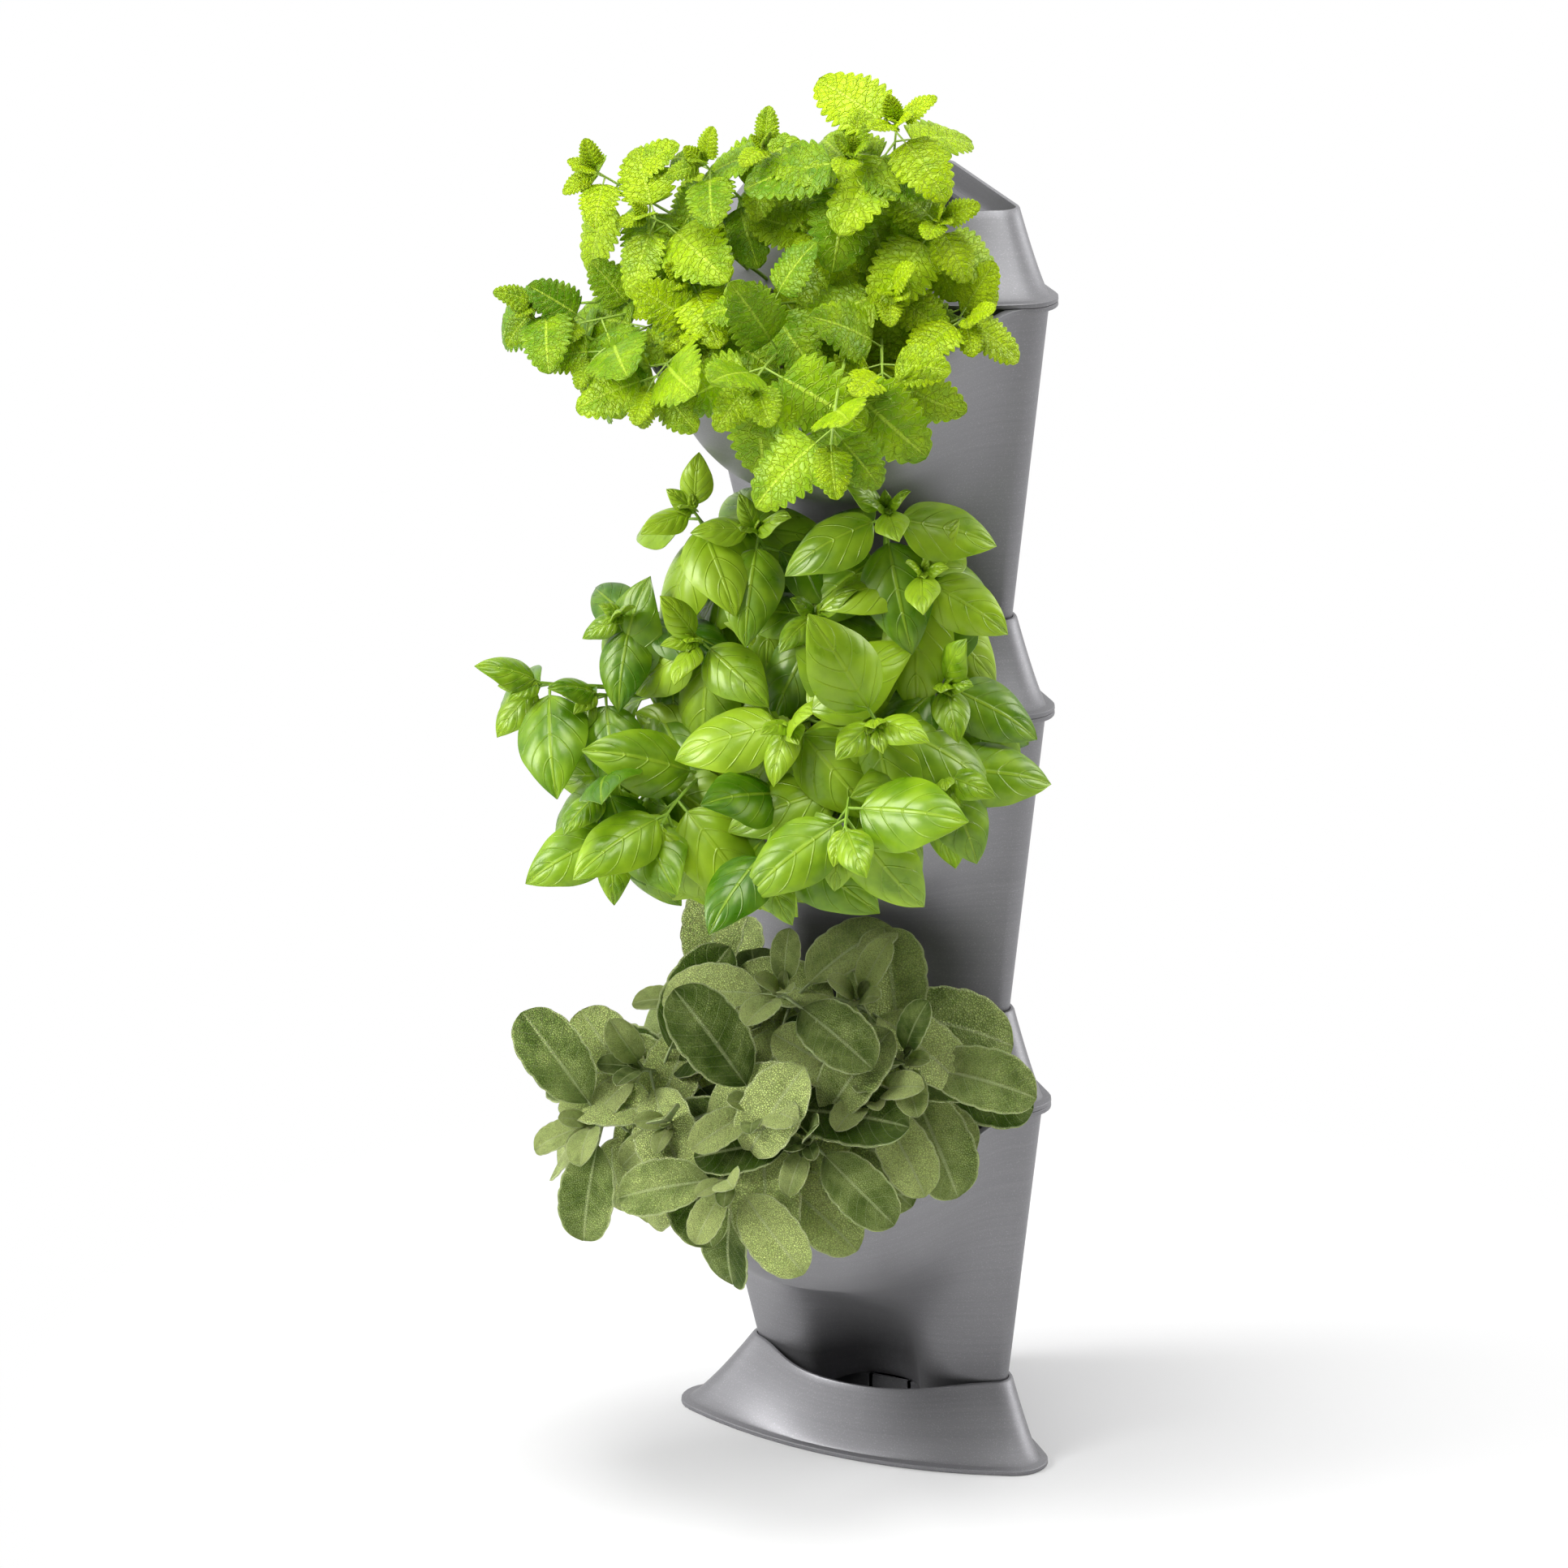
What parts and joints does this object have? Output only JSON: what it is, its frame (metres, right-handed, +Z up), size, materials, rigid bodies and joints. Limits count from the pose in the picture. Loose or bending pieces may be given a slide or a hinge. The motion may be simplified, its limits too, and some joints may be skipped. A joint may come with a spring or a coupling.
{
  "type": "vertical planter",
  "caption": "Free-standing corner herb tower: tapered pots with bowl-shaped planting mouths, stacked through open collars above a drip tray, planted with kitchen herbs.",
  "frame": {"origin": "on the drip tray's underside, in the plane of symmetry, level with the front corner centres of the pots' feet", "axes": "+Z up along the tower, +Y towards the room corner, -Y to the front where the plants grow"},
  "size_m": [0.3441, 0.3669, 0.8582],
  "materials": {
    "silver_plastic": "semi-gloss silver-grey metallic moulding with faint brushed flow lines",
    "soil": "dark crumbly potting soil",
    "root_ball": "peaty root ball",
    "sage_leaf": "grey-green felted leaf",
    "basil_leaf": "glossy mid-green leaf",
    "balm_leaf": "fresh yellow-green wrinkled leaf",
    "stem": "pale green stem"
  },
  "bodies": {
    "base": {"drip_tray": "silver_plastic"},
    "lower": {"pot_lower": "silver_plastic", "soil_lower": "soil", "root_ball_lower": "root_ball", "sage_stems": "stem", "sage_leaves": "sage_leaf", "sage_tips": "sage_leaf"},
    "link_lower": {"collar_lower": "silver_plastic"},
    "middle": {"pot_middle": "silver_plastic", "soil_middle": "soil", "root_ball_middle": "root_ball", "basil_stems": "stem", "basil_leaves": "basil_leaf", "basil_tips": "basil_leaf"},
    "link_middle": {"collar_middle": "silver_plastic"},
    "upper": {"pot_upper": "silver_plastic", "soil_upper": "soil", "root_ball_upper": "root_ball", "balm_stems": "stem", "balm_leaves": "balm_leaf", "balm_tips": "balm_leaf"},
    "cap": {"collar_top": "silver_plastic"}
  },
  "joints": [
    {"name": "pot_lower_lift", "type": "slide", "parent": "base", "child": "lower", "axis": [0, 0, 1], "range_m": [0, 0.06]},
    {"name": "collar_lower_lift", "type": "slide", "parent": "lower", "child": "link_lower", "axis": [0, 0, 1], "range_m": [0, 0.06]},
    {"name": "pot_middle_lift", "type": "slide", "parent": "link_lower", "child": "middle", "axis": [0, 0, 1], "range_m": [0, 0.06]},
    {"name": "collar_middle_lift", "type": "slide", "parent": "middle", "child": "link_middle", "axis": [0, 0, 1], "range_m": [0, 0.06]},
    {"name": "pot_upper_lift", "type": "slide", "parent": "link_middle", "child": "upper", "axis": [0, 0, 1], "range_m": [0, 0.06]},
    {"name": "collar_top_lift", "type": "slide", "parent": "upper", "child": "cap", "axis": [0, 0, 1], "range_m": [0, 0.06]}
  ]
}
